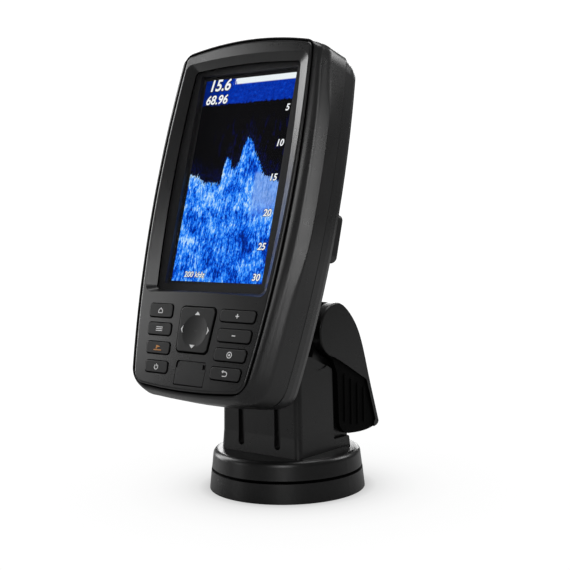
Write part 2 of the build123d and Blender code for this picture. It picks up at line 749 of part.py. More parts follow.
def ear(side):
    """Web and round ear, cut away on the inner side up to z = 60."""
    x0, x1 = side_span(side, EAR_IN, EAR_OUT)
    solid = side_prism(EAR_WEB, x0, x1) + rod(EAR_R, x1 - x0, (x0, PIVOT_Y, PIVOT_Z), "X")
    return solid - box(*side_span(side, EAR_IN - 1, EAR_IN + 3.2), -40, 40, 0, 60)


def post_stem():
    stem = stacked_loft([
        stem_plan(0.75, TURN_Z1 - 1.0),
        stem_plan(0.1, TURN_Z1 + 9.0),
        stem_plan(-0.5, TURN_Z1 + 48.0),
    ])
    stem = stem & side_prism(STEM_PROFILE, -40, 40)
    # inside: open at the back, closed by the front wall and sides
    stem = stem - box(-16.6, 16.6, STEM_FRONT + 3.2, 40, TURN_Z1, 80)
    # middle of the front wall is lower to let the tilt arm swing
    stem = stem - box(-12.2, 12.2, -30, 0, 54.0, 80)
    stem = stem + (ear(-1) + ear(1))
    # the rear of each side is set in, under the lever's cheeks
    for side in (-1, 1):
        stem = stem - side_prism(SIDE_RECESS, *side_span(side, CHEEK_IN - 0.5, 40))
    # two vertical grooves in the front panel, rounded at the foot
    groove_in, groove_out, groove_foot = 9.0, 12.6, 23.4
    for side in (-1, 1):
        x0, x1 = side_span(side, groove_in, groove_out)
        groove = box(x0, x1, STEM_FRONT - 2, STEM_FRONT + 1.6, groove_foot, 80)
        groove = groove + rod(1.8, 3.6, ((x0 + x1) / 2, STEM_FRONT - 2, groove_foot), "Y")
        stem = stem - groove
    # shallow round scallop on each shoulder
    for side in (-1, 1):
        x0, x1 = side_span(side, 22.2, 26.2)
        stem = stem - rod(10.5, x1 - x0, (x0, -2.9, 67.7), "X")
    return stem


def swivel_post():
    post = turntable() + post_stem()
    post = post - rod(BOLT_R + RUN, 40, (0, 0, 0))
    post = post - rod(AXLE_R + RUN, 60, (-30, PIVOT_Y, PIVOT_Z), "X")
    # cable way down through the disc, behind the bolt
    return post - box(-7.0, 7.0, 13.0, 20.0, 10, 25)


# ==================================================================
# Lever: head over the tilt axle, hooded tail down the back
# ==================================================================
# (y, z) side views
LEVER_BACK = [(11.0, 87.1), (17.6, 83.0), (24.4, 75.0), (29.6, 63.6), (33.6, 51.0),
              (37.2, 40.2), (41.2, 28.6)]
CHEEK_TOP = [(0.0, 64.2), (5.9, 62.2), (9.8, 60.3), (16.1, 57.0), (21.8, 53.8), (27.5, 50.7),
             (31.4, 48.6)]
LEVER_HOLLOW = [
    (-30, 90), (-30, 20), (17.0, 20), (37.9, 20), (37.9, 30.6), (34.6, 39.4), (30.4, 51.0),
    (26.8, 62.8), (21.6, 72.8), (17.4, 78.0), (14.6, 80.9), (10.6, 84.2), (9.2, 95), (-30, 95),
]
STEM_ROOM = [(-30, 10), (19.6, 10), (19.6, 50.0), (15.5, 56.0), (8.0, 61.2), (-30, 61.2)]
ARM_SLOT = [(5, 60), (23.2, 76.5), (40, 95), (5, 95)]
ARM_SLOT_HALF = 12.6
HOOD_RIB = [(32.4, 34.0), (38.6, 34.0), (38.6, 35.4), (32.4, 35.4)]
GRIP_RIBS = [  # y, lower z, upper z
    (14.4, 30.5, 53.0), (19.6, 28.6, 50.4), (24.8, 28.0, 47.6), (30.0, 28.2, 44.8),
]


def lever_view():
    """Side view of the lever: round head, back line, tail and front edge."""
    angles = [math.radians(degrees) for degrees in range(100, 176, 15)]
    head_arc = [
        (PIVOT_Y + LEVER_HEAD_R * math.cos(angle), PIVOT_Z + LEVER_HEAD_R * math.sin(angle))
        for angle in angles
    ]
    with BuildSketch() as view:
        with BuildLine():
            back = Spline(head_arc[0], *LEVER_BACK)
            tip = Spline(back @ 1, (41.0, 26.2), (38.6, 24.8))
            foot = Spline(tip @ 1, (33.7, 24.0), (26.9, 23.8), (18.6, 24.4))
            toe = Spline(foot @ 1, (13.2, 26.0), (9.6, 30.4))
            front = Line(toe @ 1, (8.6, 54.0))
            shoulder = Line(front @ 1, (5.2, 61.6))
            Spline(shoulder @ 1, (2.3, 63.0), (-1.9, 66.2), (-4.4, 70.4), *reversed(head_arc))
        make_face()
    return view.sketch


def cheek_view():
    """Side view of the area set in below the petals, inside the edge of the back wall."""
    with BuildSketch() as view:
        with BuildLine():
            top = Polyline(*CHEEK_TOP)
            back = Spline(top @ 1, (35.0, 38.6), (38.6, 28.0))
            Polyline(back @ 1, (37.4, 26.4), (37.4, 5.0), (0.0, 5.0), top @ 0)
        make_face()
    return view.sketch


def tilt_lever():
    view = lever_view()
    lever = side_extrude(view, -LEVER_OUT, LEVER_OUT)
    cheek = cheek_view()
    for side in (-1, 1):
        lever = lever - side_extrude(cheek, *side_span(side, CHEEK_OUT, 40))
    # round the outer corners of the back
    corners = [
        edge for edge in lever.edges()
        if abs(abs(edge.center().X) - LEVER_OUT) < 0.05
        and edge.length > 30
        and edge.center().Y > 22
    ]
    lever = round_edges(lever, corners, (1.6, 1.2, 0.8, 0.5))
    lever = lever - side_prism(LEVER_HOLLOW, -LEVER_IN, LEVER_IN)
    # room for the sides of the stem between the cheeks
    lever = lever - side_prism(STEM_ROOM, -CHEEK_IN, CHEEK_IN)
    # grip ribs on the set-in sides
    for side in (-1, 1):
        x0, x1 = side_span(side, CHEEK_OUT - 0.2, CHEEK_OUT + 0.45)
        for y, z0, z1 in GRIP_RIBS:
            rib = [(y - 0.7, z0), (y + 0.7, z0), (y + 0.7, z1), (y - 0.7, z1)]
            lever = lever + side_prism(rib, x0, x1)
    # slot in the hood for the tilt arm
    lever = lever - box(-ARM_SLOT_HALF, ARM_SLOT_HALF, -10, 40, 77.0, 100)
    lever = lever - side_prism(ARM_SLOT, -ARM_SLOT_HALF, ARM_SLOT_HALF)
    # blind pockets for the ends of the axle
    pocket_x = 22.4
    lever = lever - rod(AXLE_R + RUN, 2 * pocket_x, (-pocket_x, PIVOT_Y, PIVOT_Z), "X")
    # stiffening rib across the back of the hood
    return lever + (side_prism(HOOD_RIB, -21, 21) & side_extrude(view, -21, 21))


def tilt_axle():
    half_length = 22.2
    axle = rod(AXLE_R, 2 * half_length, (-half_length, PIVOT_Y, PIVOT_Z), "X")
    return round_edges(axle, axle.edges().filter_by(GeomType.CIRCLE), (0.4,))


def tilt_washers():
    """Friction washers, one at each end of the barrel."""
    washers = []
    for side in (1, -1):
        x0, x1 = side_span(side, BARREL_HALF + 0.1, BARREL_HALF + 0.7)
        washers.append(ring(7.6, AXLE_R + 0.08, x1 - x0, (x0, PIVOT_Y, PIVOT_Z), "X"))
    return washers


# ==================================================================
# Fixed base and swivel bolt
# ==================================================================
def base_plate():
    base = frustum(BASE_R_LOW, BASE_R_TOP, BASE_H, (0, 0, 0))
    base = round_edges(base, edges_at(base, BASE_H), (0.5, 0.3))
    # hollow top with a hub and four spokes
    base = base - rod(33.4, 20, (0, 0, 3.4))
    base = base + rod(8.6, BASE_H, (0, 0, 0))
    for i in range(4):
        base = base + (Rot(0, 0, 90 * i) * box(8.0, 33.6, -0.9, 0.9, 3.0, 7.4))
    # hole and hexagon pocket for the swivel bolt
    base = base - rod(BOLT_R + RUN, 40, (0, 0, -5))
    base = base - hexagon(NUT_R + 0.1, 4.3, (0, 0, -0.1))
    # countersunk screw bosses
    for i in range(4):
        angle = math.radians(45 + 90 * i)
        x, y = SCREW_CIRCLE / 2 * math.cos(angle), SCREW_CIRCLE / 2 * math.sin(angle)
        base = base + rod(5.2, 4.6, (x, y, 0.0))
        base = base - rod(BASE_SCREW_R, 10, (x, y, -1))
        base = base - frustum(BASE_SCREW_R, 4.4, 2.0, (x, y, 3.0))
    # groove for the seal ring
    return base - foot_seal()


def foot_seal():
    return ring(34.2, 31.0, 1.5, (0, 0, 0))


def swivel_bolt():
    return hexagon(NUT_R, 3.7, (0, 0, 0.4)) + rod(BOLT_R, 24.2, (0, 0, 0.8))


def swivel_ring():
    return ring(8.4, BOLT_R + RUN + 0.1, TURN_Z0 - BASE_H, (0, 0, BASE_H))


def spring_washer():
    return ring(6.6, BOLT_R + 0.15, SPRING_WASHER_T, (0, 0, TURN_Z1))


def swivel_nut():
    nut_z = TURN_Z1 + SPRING_WASHER_T
    return hexagon(NUT_R, 4.8, (0, 0, nut_z)) - rod(BOLT_R, 10, (0, 0, nut_z - 1))


# ==================================================================
# Write the pieces; each file is named after its function or table key
# ==================================================================
HEAD_PIECES = [
    front_bezel, screen_lens, lens_tape, lcd_panel, lcd_frame, backlight,
    front_case, rear_case, case_gasket, case_screws, vent_membrane,
    connector_pod, pod_screw, contact_pins,
    main_board, processor_shield, sonar_board, board_spacers, gps_antenna, beeper, card_socket,
    key_board, dome_switches, key_sheet, dpad, dpad_rocker, rocker_seat,
    card_door, card_door_pin, card_door_seal, cradle, cradle_screws,
]
MOUNT_PIECES = [
    swivel_post, tilt_lever, tilt_axle, tilt_washers, base_plate, foot_seal,
    swivel_bolt, swivel_ring, spring_washer, swivel_nut,
]

for build in HEAD_PIECES:
    save(build.__name__, build(), HEAD)
for name, centre in SOCKETS.items():
    save(name, round_socket(*centre), HEAD)
for name, points in KEYS.items():
    save(name, key(points), HEAD)
for build in MOUNT_PIECES:
    save(build.__name__, build())
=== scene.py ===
# An echo sounder: a display head with a keypad, on a tilting swivel mount.
# It stands on the floor at z = 0 with its front towards -Y, and the head leans back.
# The loaded pieces get their materials here. The front case, picture, numbers and
# key symbols are built as meshes, then come the floor, lights and camera.
import json
import math
import bpy
import numpy as np
from mathutils import Matrix, Vector


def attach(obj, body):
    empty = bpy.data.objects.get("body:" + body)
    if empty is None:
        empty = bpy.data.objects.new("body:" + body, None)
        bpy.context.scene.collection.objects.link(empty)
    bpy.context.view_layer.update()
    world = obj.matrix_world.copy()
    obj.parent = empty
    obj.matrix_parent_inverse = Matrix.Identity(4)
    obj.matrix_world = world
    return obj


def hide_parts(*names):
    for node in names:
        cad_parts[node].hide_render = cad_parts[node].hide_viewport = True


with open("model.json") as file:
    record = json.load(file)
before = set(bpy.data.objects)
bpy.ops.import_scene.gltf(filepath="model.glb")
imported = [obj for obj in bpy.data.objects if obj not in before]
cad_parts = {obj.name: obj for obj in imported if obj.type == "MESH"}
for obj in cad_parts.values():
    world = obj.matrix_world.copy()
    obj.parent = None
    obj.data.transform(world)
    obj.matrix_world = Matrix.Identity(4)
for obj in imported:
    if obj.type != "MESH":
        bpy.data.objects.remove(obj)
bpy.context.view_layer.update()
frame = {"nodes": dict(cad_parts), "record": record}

NODES = frame["nodes"]
MM = 0.001

# ---- the face frame ----
# Head parts are drawn in millimetres: x to the right as seen from the front,
# y up the leaning face, z out of the face.
LEAN = math.radians(16.43)
COS_LEAN, SIN_LEAN = math.cos(LEAN), math.sin(LEAN)
ORIGIN_Y, ORIGIN_Z = -34.21, 145.58     # face origin in the world, mm
FACE_FRAME = Matrix((
    (1, 0, 0, 0),
    (0, SIN_LEAN, -COS_LEAN, ORIGIN_Y * MM),
    (0, COS_LEAN, SIN_LEAN, ORIGIN_Z * MM),
    (0, 0, 0, 1),
))
FACE_OUT = (0.0, -COS_LEAN, SIN_LEAN)
DIAGONAL = 0.7071
# direction towards the light, which the painted shade on the key flanks spares
FACE_UP_LEFT = (-DIAGONAL, DIAGONAL * SIN_LEAN, DIAGONAL * COS_LEAN)

# Plane of the face plate: its z falls slowly towards the top
FACE_Z = 6.4
FACE_SLOPE = 0.0125


def to_world(points):
    """Face frame points in millimetres to world points in metres."""
    matrix = np.array(FACE_FRAME)
    return np.asarray(points, float) * MM @ matrix[:3, :3].T + matrix[:3, 3]


def smooth_shade(mesh, sharp=None):
    """Shades smooth; edges steeper than sharp degrees stay hard."""
    for polygon in mesh.polygons:
        polygon.use_smooth = True
    if sharp is not None:
        mesh.set_sharp_from_angle(angle=math.radians(sharp))


def make_piece(name, points, faces, body, material,
               smooth=True, sharp=None, uvs=None, replaces=()):
    """Mesh from face frame points, riding on a body."""
    mesh = bpy.data.meshes.new(name)
    mesh.from_pydata([tuple(map(float, point)) for point in to_world(points)], [], faces)
    mesh.update()
    piece = bpy.data.objects.new(name, mesh)
    bpy.context.scene.collection.objects.link(piece)
    if smooth:
        smooth_shade(mesh, sharp)
    if uvs is not None:
        layer = mesh.uv_layers.new(name="UVMap")
        for loop in mesh.loops:
            layer.data[loop.index].uv = uvs[loop.vertex_index]
    mesh.materials.append(material)
    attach(piece, body)
    if replaces:
        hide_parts(*replaces)
    return piece


# ---- shader node helpers ----

def new_material(name):
    material = bpy.data.materials.new(name)
    material.use_nodes = True
    tree = material.node_tree
    return material, tree, tree.nodes["Principled BSDF"]


def feed(tree, node, inputs):
    """Links or sets inputs by name or index; colours are given as RGB."""
    for key, value in inputs.items():
        socket = node.inputs[key]
        if isinstance(value, bpy.types.NodeSocket):
            tree.links.new(value, socket)
        elif socket.type == "RGBA":
            socket.default_value = (*value, 1)
        else:
            socket.default_value = value


def add_node(tree, kind, inputs=None, **settings):
    node = tree.nodes.new("ShaderNode" + kind)
    for key, value in settings.items():
        setattr(node, key, value)
    feed(tree, node, inputs or {})
    return node


def calculate(tree, operation, *values):
    return add_node(tree, "Math", dict(enumerate(values)), operation=operation).outputs[0]


def coordinates(tree, kind="Object"):
    return add_node(tree, "TexCoord").outputs[kind]


def split_xyz(tree, vector):
    return add_node(tree, "SeparateXYZ", {0: vector}).outputs


def noise(tree, vector, scale, detail=2.0, rough=0.5, dimensions="3D"):
    inputs = {"Scale": scale, "Detail": detail, "Roughness": rough, "Vector": vector}
    return add_node(tree, "TexNoise", inputs, noise_dimensions=dimensions).outputs["Fac"]


def color_ramp(tree, factor, stops):
    """Stops are (position, RGB)."""
    node = add_node(tree, "ValToRGB", {"Fac": factor})
    elements = node.color_ramp.elements
    while len(elements) > 1:
        elements.remove(elements[-1])
    elements[0].position = stops[0][0]
    elements[0].color = (*stops[0][1], 1)
    for position, color in stops[1:]:
        elements.new(position).color = (*color, 1)
    return node.outputs["Color"]


def map_range(tree, value, source, target, interpolation="LINEAR"):
    """Maps the source (start, end) on to the target (start, end)."""
    inputs = {
        "From Min": source[0], "From Max": source[1],
        "To Min": target[0], "To Max": target[1], "Value": value,
    }
    node = add_node(tree, "MapRange", inputs, interpolation_type=interpolation)
    return node.outputs["Result"]


def mix_color(tree, factor, first, second):
    # 6, 7 and output 2 are the colour sockets of the Mix node
    inputs = {"Factor": factor, 6: first, 7: second}
    return add_node(tree, "Mix", inputs, data_type="RGBA").outputs[2]


def bump(tree, height, strength, distance):
    inputs = {"Strength": strength, "Distance": distance, "Height": height}
    return add_node(tree, "Bump", inputs).outputs["Normal"]


def normal_along(tree, direction):
    """How far the surface normal points along a direction, -1 to 1."""
    inputs = {0: coordinates(tree, "Normal"), 1: direction}
    node = add_node(tree, "VectorMath", inputs, operation="DOT_PRODUCT")
    return node.outputs["Value"]


# ---- base materials ----

def grey(value):
    """A grey with a trace of blue."""
    return (value, value, value * 1.03)


def plastic(name, base, rough, grain=0.35, grain_mm=0.45, variation=0.18,
            specular=0.5, wear=0.0):
    """Moulded plastic: fine grain, slow colour and gloss variation, faint lighter edges."""
    material, tree, shader = new_material(name)
    place = coordinates(tree)
    slow = noise(tree, place, scale=45.0, detail=3.0)
    fine = noise(tree, place, scale=1000.0 / grain_mm * 0.5, rough=0.6)
    color = color_ramp(tree, slow, [
        (0.3, grey(base * (1 - variation))),
        (0.7, grey(base * (1 + variation))),
    ])
    if wear:
        pointiness = add_node(tree, "NewGeometry").outputs["Pointiness"]
        edge = map_range(tree, pointiness, source=(0.52, 0.60), target=(0.0, wear))
        color = mix_color(tree, edge, color, grey(base * 3.2))
    gloss = map_range(tree, slow, source=(0.3, 0.7), target=(rough - 0.02, rough + 0.035))
    feed(tree, shader, {
        "Base Color": color,
        # the fine grain adds up to 0.10 of roughness
        "Roughness": calculate(tree, "MULTIPLY_ADD", fine, 0.10, gloss),
        "Normal": bump(tree, fine, strength=grain * 0.6, distance=0.00006),
        "Specular IOR Level": specular,
    })
    return material


def rubber(name, base, rough):
    return plastic(name, base, rough, grain=0.5, grain_mm=0.25, variation=0.12, specular=0.35)


def metal(name, color, rough, stretch=(1, 1, 1)):
    """Metal with a light texture; a stretch of the texture space makes it brushed."""
    material, tree, shader = new_material(name)
    inputs = {"Scale": stretch, "Vector": coordinates(tree)}
    place = add_node(tree, "Mapping", inputs).outputs["Vector"]
    brush = noise(tree, place, scale=320.0, detail=3.0)
    darker = tuple(channel * 0.82 for channel in color)
    gloss = map_range(tree, brush, source=(0.2, 0.8), target=(rough - 0.08, rough + 0.12))
    feed(tree, shader, {
        "Base Color": color_ramp(tree, brush, [(0.3, darker), (0.7, color)]),
        "Metallic": 1.0,
        "Roughness": gloss,
        "Normal": bump(tree, brush, strength=0.15, distance=0.00003),
    })
    return material


def board_material():
    """Dark green circuit board with a lighter net of cell borders."""
    material, tree, shader = new_material("circuit_board")
    place = coordinates(tree)
    cells = add_node(tree, "TexVoronoi", {"Scale": 420.0, "Vector": place},
                     feature="DISTANCE_TO_EDGE")
    gloss = noise(tree, place, scale=300.0)
    feed(tree, shader, {
        "Base Color": color_ramp(tree, cells.outputs["Distance"], [
            (0.0, (0.03, 0.16, 0.07)),
            (0.06, (0.012, 0.07, 0.03)),
        ]),
        "Roughness": map_range(tree, gloss, source=(0, 1), target=(0.25, 0.45)),
    })
    return material


def glass_material():
    """Clear cover glass with a faint smudge in its gloss. Only its front surface mirrors."""
    material, tree, shader = new_material("cover_glass")
    tree.nodes.remove(shader)
    clear = add_node(tree, "BsdfTransparent", {"Color": (0.985, 0.985, 0.99)})
    smudge = noise(tree, coordinates(tree), scale=35.0, detail=4.0)
    mirror = add_node(tree, "BsdfGlossy", {
        "Color": (1, 1, 1),
        "Roughness": map_range(tree, smudge, source=(0.3, 0.7), target=(0.04, 0.10)),
    })
    fresnel = add_node(tree, "Fresnel", {"IOR": 1.22}).outputs["Fac"]
    backfacing = add_node(tree, "NewGeometry").outputs["Backfacing"]
    front = calculate(tree, "SUBTRACT", 1.0, backfacing)
    reflection = calculate(tree, "MULTIPLY", fresnel, front)
    weak_reflection = calculate(tree, "MULTIPLY", reflection, 0.35)
    mix = add_node(tree, "MixShader", {
        "Fac": weak_reflection, 1: clear.outputs[0], 2: mirror.outputs[0],
    })
    feed(tree, tree.nodes["Material Output"], {"Surface": mix.outputs[0]})
    return material


def glow(name, color, strength, base, rough):
    """A surface that shines a little unevenly, over a base colour."""
    material, tree, shader = new_material(name)
    flicker = noise(tree, coordinates(tree), scale=900.0, detail=1.0)
    dimmer = tuple(channel * 0.9 for channel in color)
    feed(tree, shader, {
        "Base Color": base,
        "Roughness": rough,
        "Emission Color": color_ramp(tree, flicker, [(0.0, dimmer), (1.0, color)]),
        "Emission Strength": strength,
    })
    return material


# ---- materials with painted shade in gaps and recesses ----

def paint_shade(material, mask, specular=0.02, base=0.0006):
    """Painted shade: where the mask is 1 the surface turns darker and less shiny, standing in
    for the shade in a gap or recess.
    """
    tree = material.node_tree
    shader = tree.nodes["Principled BSDF"]
    shine = shader.inputs["Specular IOR Level"].default_value
    rough = shader.inputs["Roughness"].links[0].from_socket
    color = shader.inputs["Base Color"].links[0].from_socket
    feed(tree, shader, {
        "Specular IOR Level": map_range(tree, mask, source=(0, 1), target=(shine, specular)),
        # up to 0.30 rougher
        "Roughness": calculate(tree, "MULTIPLY_ADD", mask, 0.30, rough),
        "Base Color": mix_color(tree, mask, color, (base, base, base)),
    })
    return material


def face_material():
    """Face plate with painted shade on the walls of its openings and on its outer flank."""
    material = plastic("face_plastic", base=0.012, rough=0.24, grain=0.12, wear=0.03)
    tree = material.node_tree
    wall = map_range(tree, normal_along(tree, FACE_OUT), source=(0.45, 0.20), target=(0, 1))
    return paint_shade(material, wall, specular=0.10, base=0.002)


def case_plastic(name):
    return plastic(name, base=0.010, rough=0.24, grain=0.11, wear=0.03)


def shell_material():
    """Front case with painted shade at the gaps towards the face plate and the rear case."""
    material = case_plastic("case_shell_plastic")
    attribute = add_node(material.node_tree, "Attribute", attribute_name="gap")
    return paint_shade(material, attribute.outputs["Fac"], specular=0.10, base=0.002)


def mount_plastic(name, specular):
    return plastic(name, base=0.006, rough=0.25, grain=0.30, grain_mm=0.6,
                   specular=specular, wear=0.03)


def mount_material():
    """Mount plastic with painted shade at the running gap between turntable and base."""
    material = mount_plastic("mount_plastic", specular=0.45)
    tree = material.node_tree
    height = split_xyz(tree, coordinates(tree))["Z"]
    # start and end of the fades at the gap's lower and upper edge, metres
    above = map_range(tree, height, source=(0.00885, 0.00900), target=(0, 1))
    below = map_range(tree, height, source=(0.01020, 0.01035), target=(1, 0))
    return paint_shade(material, calculate(tree, "MULTIPLY", above, below))


def lever_material():
    """Tilt lever plastic with painted shade in its set-in, ribbed cheeks, which turn dark and
    dull.
    """
    material = mount_plastic("lever_plastic", specular=0.42)
    tree = material.node_tree
    place = split_xyz(tree, coordinates(tree))
    sideways = calculate(tree, "ABSOLUTE", place["X"])
    # the cheeks end at these distances from the middle and heights, metres
    inner = map_range(tree, sideways, source=(0.0246, 0.0249), target=(1, 0))
    low = map_range(tree, place["Z"], source=(0.066, 0.070), target=(1, 0))
    return paint_shade(material, calculate(tree, "MULTIPLY", inner, low),
                  specular=0.05, base=0.0008)


def key_material():
    """Key rubber with painted shade on its rounded flanks towards the gap, least at the upper
    left, towards the light.
    """
    material = rubber("key_rubber", base=0.012, rough=0.42)
    tree = material.node_tree
    flank = map_range(tree, normal_along(tree, FACE_OUT),
                      source=(0.97, 0.75), target=(0, 1))
    unlit = map_range(tree, normal_along(tree, FACE_UP_LEFT),
                      source=(0.10, 0.50), target=(1.0, 0.15))
    return paint_shade(material, calculate(tree, "MULTIPLY", flank, unlit))


# ---- materials of the loaded pieces ----
LEVER = lever_material()
SHELL = shell_material()
BLACK = plastic("black_print", base=0.016, rough=0.42, grain=0.05)
SLOT_MATERIALS = {
    "face_plastic": face_material(),
    "case_plastic": case_plastic("case_plastic"),
    "mount_plastic": mount_material(),
    "key_rubber": key_material(),
    "seal_rubber": rubber("seal_rubber", base=0.012, rough=0.8),
    "display": BLACK,
    "black_frame": BLACK,
    "steel": metal("stainless", (0.56, 0.56, 0.57), rough=0.3, stretch=(1, 14, 14)),
    "brass_pins": metal("plated_contact", (0.72, 0.55, 0.25), rough=0.25),
    "shield_metal": metal("tinned_shield", (0.6, 0.6, 0.6), rough=0.35, stretch=(1, 14, 14)),
    "board": board_material(),
    "ceramic": plastic("ceramic_patch", base=0.45, rough=0.5, grain=0.2),
    "nylon": plastic("natural_nylon", base=0.42, rough=0.5, grain=0.2),
    "foam": rubber("foam_tape", base=0.02, rough=0.95),
    "lens_glass": glass_material(),
}
for subpart in frame["record"]["subparts"]:
    node_name, slot_name = subpart["node"], subpart["material_slot"]
    part = NODES[node_name]
    part.data.materials.clear()
    part.data.materials.append(LEVER if node_name == "tilt_lever" else SLOT_MATERIALS[slot_name])
    smooth_shade(part.data, sharp=28)

# ---- the display picture ----
PICTURE_WIDTH, PICTURE_HEIGHT = 53.86, 95.04
PICTURE_Z = 0.03
PICTURE_COLUMNS, PICTURE_ROWS = 20, 36
# Upper edge of the echo: (place from the left, depth from the top), as picture fractions
ECHO_EDGE = [
    (0.0, 0.479), (0.10, 0.485), (0.115, 0.502), (0.16, 0.516), (0.34, 0.528),
    (0.362, 0.520), (0.372, 0.430), (0.40, 0.402), (0.44, 0.412), (0.462, 0.455),
    (0.50, 0.455), (0.535, 0.425), (0.552, 0.345), (0.585, 0.306), (0.625, 0.312),
    (0.66, 0.335), (0.69, 0.385), (0.73, 0.41), (0.78, 0.45), (0.82, 0.485),
    (0.86, 0.498), (0.93, 0.510), (1.0, 0.518),
]


def picture_place(across, down):
    """Face frame x and y of a place in the picture, given as fractions from its top left."""
    return (across - 0.5) * PICTURE_WIDTH, (0.5 - down) * PICTURE_HEIGHT


def display_material():
    """Blue echo below a jagged edge, with a surface band and a white line at the top."""
    material, tree, shader = new_material("display_picture")

    def calc(operation, *values):
        return calculate(tree, operation, *values)

    def both(first, second):
        return calc("MULTIPLY", first, second)

    def beyond(value, edge, soft):
        """0 below the edge, 1 above it."""
        return map_range(tree, calc("SUBTRACT", value, edge), source=(-soft, soft),
                         target=(0, 1), interpolation="SMOOTHSTEP")

    def short_of(value, edge, soft):
        """1 below the edge, 0 above it."""
        return calc("SUBTRACT", 1.0, beyond(value, edge, soft))

    def wobble(value, texture, amount):
        """Moves a value up and down with a noise."""
        return calc("MULTIPLY_ADD", calc("SUBTRACT", texture, 0.5), amount, value)

    def mix(factor, first, second):
        return mix_color(tree, factor, first, second)

    # x runs to the right and y down the picture, both 0 to 1
    picture = add_node(tree, "UVMap", uv_map="UVMap").outputs["UV"]
    x, y = split_xyz(tree, picture)[:2]

    def texture(scale, detail, rough, offset=0.0):
        """Noise with its own scale across and down; the offset picks another stretch."""
        place = add_node(tree, "Mapping", {
            "Scale": (*scale, 1),
            "Location": (offset, offset * 0.7, offset * 0.3),
            "Vector": picture,
        }).outputs["Vector"]
        return noise(tree, place, 1.0, detail, rough, dimensions="2D")

    # upper edge of the echo
    curve = add_node(tree, "FloatCurve", {"Value": x})
    points = curve.mapping.curves[0].points
    points[0].location = ECHO_EDGE[0]
    points[1].location = ECHO_EDGE[-1]
    for point in ECHO_EDGE[1:-1]:
        points.new(*point)
    for point in points:
        point.handle_type = "VECTOR"
    curve.mapping.update()
    jag = texture(scale=(36, 9), detail=5.0, rough=0.80)
    fine_jag = texture(scale=(95, 60), detail=1.0, rough=0.6, offset=3.1)
    edge = wobble(curve.outputs["Value"], jag, amount=0.075)
    edge = wobble(edge, fine_jag, amount=0.045)
    inside = beyond(y, edge, soft=0.004)

    # echo strength: coarse clouds, streaks and grain, each with its weight
    clouds = texture(scale=(6.0, 9.0), detail=3.0, rough=0.60, offset=7.3)
    streak = texture(scale=(42, 24), detail=4.0, rough=0.78, offset=1.7)
    grain = texture(scale=(110, 60), detail=2.0, rough=0.7, offset=5.2)
    strength = both(clouds, 1.35)
    strength = calc("MULTIPLY_ADD", streak, 1.85, strength)
    strength = calc("MULTIPLY_ADD", grain, 0.85, strength)
    strength = calc("SUBTRACT", strength, 1.46)
    # a pale patch at the right, just under the edge
    pale = both(beyond(x, 0.735, soft=0.02), short_of(y, 0.655, soft=0.06))
    pale = both(pale, beyond(y, 0.478, soft=0.012))
    # stronger at the upper left, weaker low on the right
    shelf = both(short_of(x, 0.37, soft=0.05), short_of(y, 0.60, soft=0.10))
    strength = calc("MULTIPLY_ADD", shelf, 0.14, strength)
    low_right = both(beyond(x, 0.52, soft=0.16), beyond(y, 0.74, soft=0.10))
    strength = calc("MULTIPLY_ADD", low_right, -0.12, strength)
    echo_color = color_ramp(tree, strength, [
        (0.12, (0.0, 0.016, 0.20)),
        (0.34, (0.0, 0.045, 0.52)),
        (0.52, (0.002, 0.15, 0.90)),
        (0.68, (0.03, 0.30, 1.0)),
        (0.86, (0.20, 0.50, 1.0)),
        (1.0, (0.55, 0.78, 1.0)),
    ])
    pale_color = color_ramp(tree, streak, [
        (0.35, (0.11, 0.30, 0.80)),
        (0.60, (0.30, 0.50, 0.92)),
    ])
    echo = mix(both(pale, 0.80), echo_color, pale_color)

    # dark specks close above the echo, and a few faint returns higher up
    near = short_of(calc("SUBTRACT", edge, y), 0.055, soft=0.05)
    speck = beyond(grain, 0.56, soft=0.06)
    above = mix(both(near, speck), (0.0025, 0.0025, 0.003), (0.004, 0.008, 0.075))
    faint = texture(scale=(26, 16), detail=2.0, rough=0.6, offset=9.9)
    region = both(beyond(y, 0.22, soft=0.05), beyond(x, 0.30, soft=0.15))
    returns = both(both(beyond(faint, 0.63, soft=0.05), region), 0.55)
    above = mix(returns, above, (0.003, 0.004, 0.06))
    color = mix(inside, above, echo)

    # surface band at the top, darker at the left
    ripple = texture(scale=(30, 60), detail=3.0, rough=0.6, offset=2.2)
    band_color = color_ramp(tree, ripple, [
        (0.25, (0.0, 0.016, 0.26)),
        (0.6, (0.001, 0.036, 0.44)),
        (0.85, (0.005, 0.08, 0.62)),
    ])
    dark_left = both(short_of(x, 0.16, soft=0.20), 0.72)
    band_color = mix(dark_left, band_color, (0.0, 0.004, 0.05))
    band_edge = wobble(0.126, ripple, amount=0.02)
    color = mix(short_of(y, band_edge, soft=0.004), color, band_color)
    # white line along the top, from a ragged start to the right edge
    line = both(short_of(y, 0.029, soft=0.003),
                beyond(wobble(x, fine_jag, amount=0.10), 0.345, soft=0.012))
    color = mix(line, color, (0.86, 0.92, 0.93))
    feed(tree, shader, {
        "Base Color": (0.001, 0.001, 0.0012),
        "Roughness": 0.6,
        "Specular IOR Level": 0.02,
        "Emission Color": color,
        "Emission Strength": 1.0,
    })
    return material


def build_picture():
    """Flat grid carrying the display picture."""
    points, faces, uvs = [], [], []
    for j in range(PICTURE_ROWS + 1):
        for i in range(PICTURE_COLUMNS + 1):
            across, down = i / PICTURE_COLUMNS, j / PICTURE_ROWS
            points.append((*picture_place(across, down), PICTURE_Z))
            uvs.append((across, down))
    stride = PICTURE_COLUMNS + 1
    for j in range(PICTURE_ROWS):
        for i in range(PICTURE_COLUMNS):
            corner = j * stride + i
            faces.append((corner, corner + stride, corner + stride + 1, corner + 1))
    make_piece("display_picture", points, faces, "head", display_material(),
               uvs=uvs)


build_picture()

# ---- numbers on the display ----
DIGIT_Z = 0.10
CAP_HEIGHT = 0.70       # height of a digit at font size 1
DIGIT_SHEAR = 0.17
